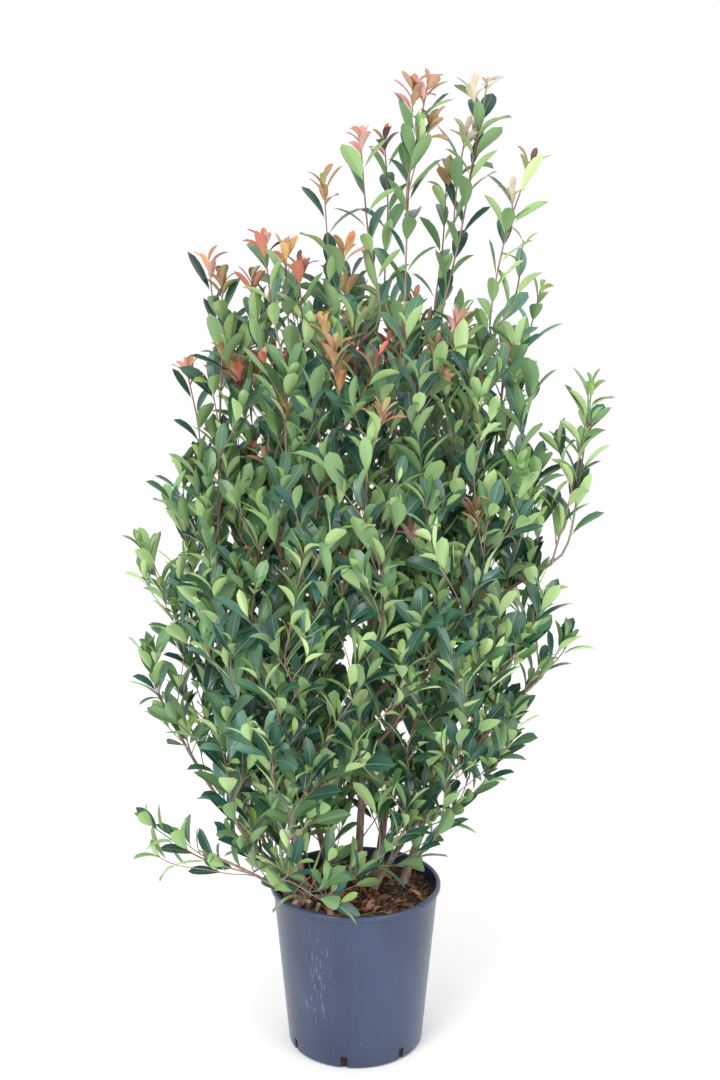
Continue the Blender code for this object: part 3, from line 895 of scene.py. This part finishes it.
def make_limbs(wood):
    older = bark_finish("grey_brown_bark", BARK_GREY, BARK_BROWN, BARK_PALE)
    younger = bark_finish("young_brown_bark", YOUNG_BROWN, YOUNG_RED, BARK_GREY)
    for node in sorted(NODES):
        if node.startswith("stem_"):
            make_limb(node, wood, "bark", older)
        elif node.startswith("bough_"):
            make_limb(node, wood, "young_bark", younger)


def make_stubs():
    """Stubs of old stems, with pale wood where they are cut."""
    heap = Heap()
    for (x, y), (lean_x, lean_y), radius in STUBS:
        foot = np.array((x, y, compost_level(x, y) - STUB_BURIED))
        ahead = unit(np.array((lean_x, lean_y, 1.0)))
        path = foot + ahead * np.linspace(0.0, STUB_LENGTH + radius, len(STUB_SWELL))[:, None]
        points, triangles = tube_arrays(path, radius * np.array(STUB_SWELL), LIMB_SIDES)
        points[-1] = path[-1]
        is_cut = triangles.max(1) == len(points) - 1
        heap.add(points, triangles, is_cut.astype(int))
    bark = bark_finish("stub_bark", BARK_GREY, BARK_BROWN, BARK_PALE)
    cut = grainy_finish("cut_wood", CUT_WOOD, BARK_BROWN, 0.8, 500.0, 0.3, 0.6)
    keep(heap.make("cut_stubs", [bark, cut], sharp=50.0), "bark")


# Shoots

Shoot = namedtuple("Shoot", "path radii bare_share habit")


def pick(options):
    return options[DRAWS.integers(len(options))]


def shoot_path(start, heading, target):
    """A curve that leaves the parent at an angle and bends up towards its tip."""
    chord = target - start
    length = norm(chord)
    first = unit(chord) * START_TO_TIP + heading * START_TO_PARENT + DRAWS.normal(0.0, SHOOT_WANDER, 3)
    final = unit(chord) * END_TO_TIP + UP * END_UPWARD + DRAWS.normal(0.0, SHOOT_WANDER, 3)
    start_handle = start + unit(first) * length * HANDLE_SHARE
    end_handle = target - unit(final) * length * HANDLE_SHARE
    shares = np.linspace(0.0, 1.0, max(5, round(length / WOOD_STEP)))[:, None]
    rest = 1.0 - shares
    outer = rest ** 3 * start + shares ** 3 * target
    return outer + 3.0 * rest ** 2 * shares * start_handle + 3.0 * rest * shares ** 2 * end_handle


def shoot_radii(path, parent_radius):
    grown = min(1.0, step_lengths(path).sum() / GROWN_LENGTH)
    foot = min(parent_radius * CHILD_SHARE, TWIG_RADIUS + TWIG_GAIN * grown)
    return np.linspace(max(foot, TWIG_RADIUS * LEAST_FOOT), TWIG_RADIUS, len(path))


def grow_shoot(wood, target, habit):
    start = wood.nearest_start(target)
    path = shoot_path(wood.points[start], wood.ahead[start], target)
    length = step_lengths(path).sum()
    bare_share = min(MOST_BARE, BARE_FOOT / length + max(0.0, length - BARE_LENGTH) * BARE_GAIN)
    wood.add_shoot(Shoot(path, shoot_radii(path, wood.radii[start]), bare_share, habit))


def is_inside(tree, point):
    spot, normal, _, _ = tree.find_nearest(Vector(point))
    return (Vector(point) - spot).dot(normal) < 0.0


def mass_targets(node, tree):
    """Evenly scattered ends for the shoots of a mass, more in a larger one."""
    low, high = (np.array(corner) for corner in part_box(node))
    shape = bmesh.new()
    shape.from_mesh(NODES[node].data)
    litres = abs(shape.calc_volume()) * 1000.0
    shape.free()
    crowding = LOW_CROWDING if low[2] < LOW_MASSES else 1.0
    count = max(FEWEST_SHOOTS, round(litres * SHOOTS_PER_LITRE * crowding))
    targets = []
    while len(targets) < count:
        options = []
        while len(options) < TARGET_TRIES:
            option = DRAWS.uniform(low, high)
            if is_inside(tree, option):
                options.append(option)
        if targets:
            gaps = [min(norm(option - other) for other in targets) for option in options]
        else:
            gaps = [norm(option[:2]) for option in options]
        targets.append(options[int(np.argmax(gaps))])
    return targets


def grow_crown(wood, trees):
    """Shoots that fill the masses from the lowest up, some high ones with red tips."""
    for node in sorted(trees, key=lambda name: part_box(name)[0][2]):
        if node.startswith(("foliage_tip_", "foliage_spray_")):
            continue
        for target in mass_targets(node, trees[node]):
            chance = next(chance for height, chance in RED_TIP_CHANCES if target[2] > height)
            young = pick(CROWN_YOUNG) if DRAWS.random() < chance else "fresh"
            leaf_step = LEAF_STEP * DRAWS.uniform(0.9, 1.2)
            leaf_size = DRAWS.uniform(0.85, 1.12)
            young_length = 0.012 if young == "fresh" else 0.032
            grow_shoot(wood, target, Habit(leaf_step, leaf_size, young, young_length))


def grow_leaders(wood):
    for base, middle, tip, young in LEADERS:
        corners = np.array((base, middle, tip)) / 1000.0
        start = wood.nearest_start(corners[0] + UP * LEADER_START)
        path = smooth_path(np.vstack([wood.points[start], corners]), WOOD_STEP)
        foot = min(wood.radii[start] * LEADER_SHARE, LEADER_FOOT)
        radii = np.linspace(foot, LEADER_TIP, len(path))
        wood.add_shoot(Shoot(path, radii, LEADER_BARE, LEADER_HABIT._replace(young=young)))


def spray_ends(node):
    """The two ends of a slender mass, the one by the axis of the plant first."""
    points = np.array([tuple(vertex.co) for vertex in NODES[node].data.vertices])
    centre = points.mean(0)
    along = np.linalg.svd(points - centre, full_matrices=False)[2][0]
    reach = (points - centre) @ along
    ends = [centre + along * reach.min() * SPRAY_BASE, centre + along * reach.max() * SPRAY_TIP]
    return sorted(ends, key=lambda end: end[2] + SPRAY_OUTWARD * norm(end[:2]))


def grow_sprays(wood, trees):
    """Side sprays: one sagging shoot along the mass, and shorter ones beside it."""
    for node in sorted(trees):
        if not node.startswith("foliage_spray_"):
            continue
        base, tip = spray_ends(node)
        start = int(norm(wood.points - base, axis=1).argmin())
        middle = (wood.points[start] + tip) / 2.0 - UP * SPRAY_SAG * norm(tip - base)
        path = smooth_path(np.vstack([wood.points[start], middle, tip]), WOOD_STEP)
        radii = shoot_radii(path, wood.radii[start])
        wood.add_shoot(Shoot(path, radii, SPRAY_BARE, SPRAY_HABIT))
        for share in (0.4, 0.65, 0.85):
            target = base + (tip - base) * share + DRAWS.normal(0.0, SPRAY_SCATTER, 3)
            grow_shoot(wood, target, SPRAY_SIDE_HABIT)


def make_twigs(shoots):
    """All shoots as tubes, grey-brown at the foot, then brown, and olive at the tip."""
    heap = Heap()
    finishes = [Shader(name, colour, roughness=0.6).material for name, colour in TWIG_FINISHES]
    for shoot in shoots:
        points, triangles = tube_arrays(shoot.path, shoot.radii, TWIG_SIDES)
        share = triangles.min(1) // TWIG_SIDES / (len(shoot.path) - 1)
        heap.add(points, triangles, np.digitize(share, TWIG_CHANGES))
    keep(heap.make("twigs", finishes, sharp=60.0), "young_bark")


# Shape of a leaf

Leaf = namedtuple("Leaf", "base ahead normal length width curl fold twist tint")


def leaf_outline(share):
    """Half width along a leaf, as a share of its largest: a thin stalk, then a pointed oval."""
    blade = np.clip((share - PETIOLE_SHARE) / (1.0 - PETIOLE_SHARE), 0.0, 1.0)
    oval = blade ** FOOT_POWER * (1.0 - blade) ** TIP_POWER * OUTLINE_FACTOR
    return np.maximum(oval, STALK_WIDTH)


def leaf_triangles():
    """One leaf's triangles, and their parts: 0 upper side, 1 under side, 2 midrib."""
    rows = len(LEAF_ROWS) - 2
    starts = [1 + row * ROW_POINTS for row in range(rows)]
    top = [[start + column for column in range(LEAF_STRIPS + 1)] for start in starts]
    low = [line[:1] + [line[-1] + column for column in range(1, LEAF_STRIPS)] + line[-1:] for line in top]
    tip = 1 + rows * ROW_POINTS
    triangles = []
    parts = []
    for column in range(LEAF_STRIPS):
        for sheet, part in ((top, 0), (low, 1)):
            kind = 2 if column == LEAF_STRIPS // 2 else part
            strip = [(0, sheet[0][column + 1], sheet[0][column])]
            for row in range(rows - 1):
                a, b = sheet[row][column], sheet[row][column + 1]
                c, d = sheet[row + 1][column + 1], sheet[row + 1][column]
                strip += [(a, b, c), (a, c, d)]
            strip.append((sheet[-1][column], sheet[-1][column + 1], tip))
            if part == 1:
                strip = [(a, c, b) for a, b, c in strip]
            triangles += strip
            parts += [kind] * len(strip)
    return np.array(triangles), np.array(parts)


def leaf_row(many, share, place, side, facing):
    """The points across each leaf at one share of its length, the upper side first."""
    turn = (many.twist * share)[:, None]
    across = side * np.cos(turn) + facing * np.sin(turn)
    facing = facing * np.cos(turn) - side * np.sin(turn)
    half = many.width * 0.5 * leaf_outline(share)
    rib = np.maximum(many.width * 0.5 * RIB_SHARE * (RIB_END - share), THINNEST_RIB)
    rib = np.minimum(rib, half * WIDEST_RIB)
    quarter = (half + rib) * 0.5
    columns = np.stack([-half, -quarter, -rib, rib, quarter, half], 1)
    fold = many.fold[:, None]
    lift = np.abs(columns) * np.sin(fold) - BLADE_ARCH * (columns ** 2) / many.width[:, None]
    spread = columns * np.cos(fold)
    facing = facing[:, None, :]
    upper = place[:, None, :] + across[:, None, :] * spread[:, :, None] + facing * lift[:, :, None]
    return [upper, upper[:, 1:-1] - facing * LEAF_THICKNESS]


def leaf_points(leaves):
    """Points of many leaves at once. Each bends back along its length and folds along its midrib."""
    many = Leaf(*(np.array(values, float) for values in zip(*leaves)))
    ahead = unit(many.ahead)
    normal = unit(many.normal - ahead * (many.normal * ahead).sum(1, keepdims=True))
    side = np.cross(ahead, normal)
    place = many.base
    blocks = [place[:, None, :]]
    for previous, share in zip(LEAF_ROWS, LEAF_ROWS[1:]):
        bend = (many.curl * (share + previous) * 0.5)[:, None]
        step = (ahead * np.cos(bend) - normal * np.sin(bend)) * (share - previous)
        place = place + step * many.length[:, None]
        if share < 1.0:
            bend = (many.curl * share)[:, None]
            blocks += leaf_row(many, share, place, side, normal * np.cos(bend) + ahead * np.sin(bend))
    blocks.append(place[:, None, :])
    return np.concatenate(blocks, 1)


# Leaves along the shoots


def kept_in_box(base, ahead, length):
    """Turns and shortens a leaf that would reach past the plant's own size."""
    low, high = (np.array(corner) for corner in CAD_BOX)
    for _ in range(BOX_TRIES):
        end = base + ahead * length
        if np.all(end > low) and np.all(end < high):
            break
        ahead = unit(ahead + UP * (BOX_TURN if end[2] < high[2] else -BOX_TURN))
        length = length * BOX_SHRINK
    return ahead, length


def main_tint(shoot, tints):
    """The green of a whole shoot, often a paler one on the outside of the plant."""
    green = pick(tints["green"])
    outside = norm(shoot.path[-1][:2]) > OUTER_RADIUS
    chance = PALE_OUTSIDE if outside else PALE_INSIDE
    return pick(tints["pale"]) if DRAWS.random() < chance else green


def leaf_tint(is_young, main, young, others, greens):
    """Young leaves take a young tint, and some others stray from their shoot's green."""
    kinds = young if DRAWS.random() < OWN_TINT else others
    if is_young:
        return pick(kinds)
    return pick(greens) if DRAWS.random() < STRAY_TINT else main


def leaf_directions(stem, radial, left):
    """Where a leaf points and faces. It opens less near the tip of its shoot."""
    degrees = DRAWS.normal(40.0, 10.0)
    angle = math.radians(degrees) * min(1.0, TIP_OPENNESS + left / OPEN_LENGTH)
    ahead = stem * math.cos(angle) + radial * math.sin(angle)
    ahead = unit(ahead + UP * UPWARD_PULL)
    normal = stem * math.sin(angle) - radial * math.cos(angle)
    return ahead, unit(normal + DRAWS.normal(0.0, FACING_SPREAD, 3))


def point_along(path, marks, place):
    return np.array([np.interp(place, marks, path[:, axis]) for axis in range(3)])


def shoot_leaves(shoot, tints):
    """Leaves along one shoot, in a spiral, smaller and more upright towards its tip."""
    habit = shoot.habit
    leaves = []
    marks = distances(shoot.path)
    total = marks[-1]
    place = total * shoot.bare_share + DRAWS.uniform(0.0, habit.leaf_step)
    angle = DRAWS.uniform(0.0, FULL_TURN)
    main = main_tint(shoot, tints)
    young = tints[habit.young]
    others = young + tints["bronze"] + tints["pink"] if habit.young in REDDISH else young
    while place < total - TIP_GAP:
        left = total - place
        is_young = left < habit.young_length
        growth = YOUNG if is_young else GROWN
        base = point_along(shoot.path, marks, place)
        stem = unit(base - point_along(shoot.path, marks, place - LOOK_BACK))
        across = unit(np.cross(stem, LEAF_SKEW))
        radial = across * math.cos(angle) + np.cross(stem, across) * math.sin(angle)
        size = habit.leaf_size * min(1.0, TIP_LEAF_SIZE + left / SIZE_LENGTH)
        size *= DRAWS.uniform(0.8, 1.12)
        ahead, normal = leaf_directions(stem, radial, left)
        tint = leaf_tint(is_young, main, young, others, tints["green"])
        length = LEAF_LENGTH * size * growth.length
        width = length * LEAF_WIDTH_SHARE * DRAWS.uniform(0.86, 1.14) * growth.width
        curl = DRAWS.normal(0.5, 0.3) + growth.curl
        ahead, length = kept_in_box(base, ahead, length)
        fold, twist = DRAWS.uniform(0.18, 0.46), DRAWS.normal(0.0, 0.3)
        leaves.append(Leaf(base, ahead, normal, length, width, curl, fold, twist, tint))
        angle += GOLDEN_ANGLE + DRAWS.normal(0.0, 0.25)
        crowding = TIP_CROWDING if left < CLOSE_LENGTH else 1.0
        if is_young and habit.young != "fresh":
            crowding = RED_CROWDING
        place += habit.leaf_step * crowding * DRAWS.uniform(0.75, 1.25)
    return leaves


def leaf_finishes():
    """The numbers of each group's tints, and for each number the finishes of a leaf's parts."""
    groups = {}
    finishes = []
    for name, tints in TINTS.items():
        groups[name] = list(range(len(finishes), len(finishes) + len(tints)))
        for number, (upper, under, roughness) in enumerate(tints, 1):
            upper, under = from_srgb(*upper), from_srgb(*under)
            rib = mixed(mixed(upper, under, 0.5), RIB_PALE, RIB_PALENESS)
            label = "%s_leaf_%d_" % (name, number)
            finishes.append((
                Shader(label + "upper", upper, roughness).material,
                Shader(label + "under", under, roughness=0.58).material,
                Shader(label + "midrib", rib, roughness=0.5).material,
            ))
    return groups, finishes


def make_leaf_piece(name, leaves, finishes, slot, *nodes):
    triangles, parts = leaf_triangles()
    points = leaf_points(leaves)
    used = sorted({leaf.tint for leaf in leaves})
    firsts = np.arange(len(leaves)) * points.shape[1]
    all_triangles = (triangles[None] + firsts[:, None, None]).reshape(-1, 3)
    tint_places = np.array([used.index(leaf.tint) for leaf in leaves])
    slots = (tint_places[:, None] * LEAF_PARTS + parts[None]).ravel()
    materials = [material for tint in used for material in finishes[tint]]
    points = points.reshape(-1, 3)
    item = from_arrays(name, points, all_triangles, slots, materials, sharp=75.0)
    keep(item, slot, *nodes)


def home_mass(leaf, trees, boxes):
    """The mass that a leaf belongs to: the one its middle is in, or the nearest."""
    middle = np.array(leaf.base) + np.array(leaf.ahead) * leaf.length * 0.5
    best, best_distance = None, math.inf
    for node, tree in trees.items():
        low, high = boxes[node]
        if np.any(middle < low - best_distance) or np.any(middle > high + best_distance):
            continue
        spot, normal, _, distance = tree.find_nearest(Vector(middle))
        in_box = np.all(middle > low) and np.all(middle < high)
        if in_box and (Vector(middle) - spot).dot(normal) < 0.0:
            return node
        if distance < best_distance:
            best, best_distance = node, distance
    return best


def make_leaves(shoots, trees, groups, finishes):
    """All leaves, in one piece for each mass that they stand for."""
    boxes = {node: tuple(np.array(corner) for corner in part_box(node)) for node in trees}
    piles = {node: [] for node in trees}
    for shoot in shoots:
        for leaf in shoot_leaves(shoot, groups):
            piles[home_mass(leaf, trees, boxes)].append(leaf)
    slots = {entry["node"]: entry["material_slot"] for entry in frame["record"]["subparts"]}
    for node, leaves in piles.items():
        name = node.replace("foliage_", "leaves_")
        make_leaf_piece(name, leaves, finishes, slots[node], node)


def make_litter(tints, finishes):
    """Leaves that have fallen on the compost: brown, pinkish and yellow."""
    spots = list(LITTER_SPOTS)
    for _ in range(LITTER_COUNT):
        angle, radius = DRAWS.uniform(0.0, FULL_TURN), LITTER_RADIUS * math.sqrt(DRAWS.random())
        spots.append((*around(radius, angle), DRAWS.integers(2)))
    leaves = []
    for x, y, kind in spots:
        ahead = np.array((*around(1.0, DRAWS.uniform(0.0, FULL_TURN)), LITTER_RISE))
        normal = unit(UP + DRAWS.normal(0.0, LITTER_TILT, 3))
        length, curl, twist = DRAWS.uniform(0.038, 0.054), DRAWS.uniform(0.5, 1.5), DRAWS.normal(0.0, 0.5)
        width, fold = length * 0.36, 0.4
        base = np.array((x, y, compost_level(x, y) + LITTER_LIFT)) - ahead * length * LITTER_CENTRE
        leaves.append(Leaf(base, ahead, normal, length, width, curl, fold, twist, tints[kind]))
    make_leaf_piece("fallen_leaves", leaves, finishes, "compost")


# Floor, light and camera


def make_floor():
    shape = bmesh.new()
    bmesh.ops.create_grid(shape, x_segments=8, y_segments=8, size=FLOOR_SIZE / 2.0)
    finish = Shader("pale_floor", FLOOR_WHITE, roughness=0.7).material
    floor = from_bmesh("studio_floor", shape, [finish], sharp=30.0)
    floor.location.z = -FLOOR_DROP


def make_light():
    world = bpy.data.worlds.new("white_studio")
    world.use_nodes = True
    sky = world.node_tree.nodes["Background"]
    sky.inputs["Color"].default_value = (1.0, 1.0, 1.0, 1.0)
    sky.inputs["Strength"].default_value = 1.03
    bpy.context.scene.world = world
    bpy.context.scene.view_settings.view_transform = "Standard"
    for name, place, width, watts in LAMPS:
        lamp = bpy.data.lights.new(name, "AREA")
        lamp.shape = "DISK"
        lamp.size = width
        lamp.energy = watts
        item = in_scene(name, lamp)
        item.location = place
        item.rotation_euler = (Vector(LAMP_AIM) - Vector(place)).to_track_quat("-Z", "Y").to_euler()


def make_camera():
    lens = bpy.data.cameras.new("photo_view")
    lens.lens = CAMERA_LENS
    camera = in_scene("photo_view", lens)
    camera.location = CAMERA_PLACE
    camera.rotation_euler = (CAMERA_PITCH, 0.0, 0.0)
    bpy.context.scene.camera = camera


def foliage_trees():
    """A search tree over each foliage mass."""
    trees = {}
    for node in sorted(NODES):
        if node.startswith("foliage_"):
            mesh = NODES[node].data
            corners = [vertex.co.copy() for vertex in mesh.vertices]
            trees[node] = BVHTree.FromPolygons(corners, [tuple(face.vertices) for face in mesh.polygons])
    return trees


def main():
    make_camera()
    make_light()
    make_floor()
    make_pot()
    make_compost()
    make_chips()
    wood = Wood()
    make_limbs(wood)
    trees = foliage_trees()
    grow_crown(wood, trees)
    grow_leaders(wood)
    grow_sprays(wood, trees)
    groups, finishes = leaf_finishes()
    make_leaves(wood.shoots, trees, groups, finishes)
    make_twigs(wood.shoots)
    make_litter(groups["dead"], finishes)
    make_stubs()


main()
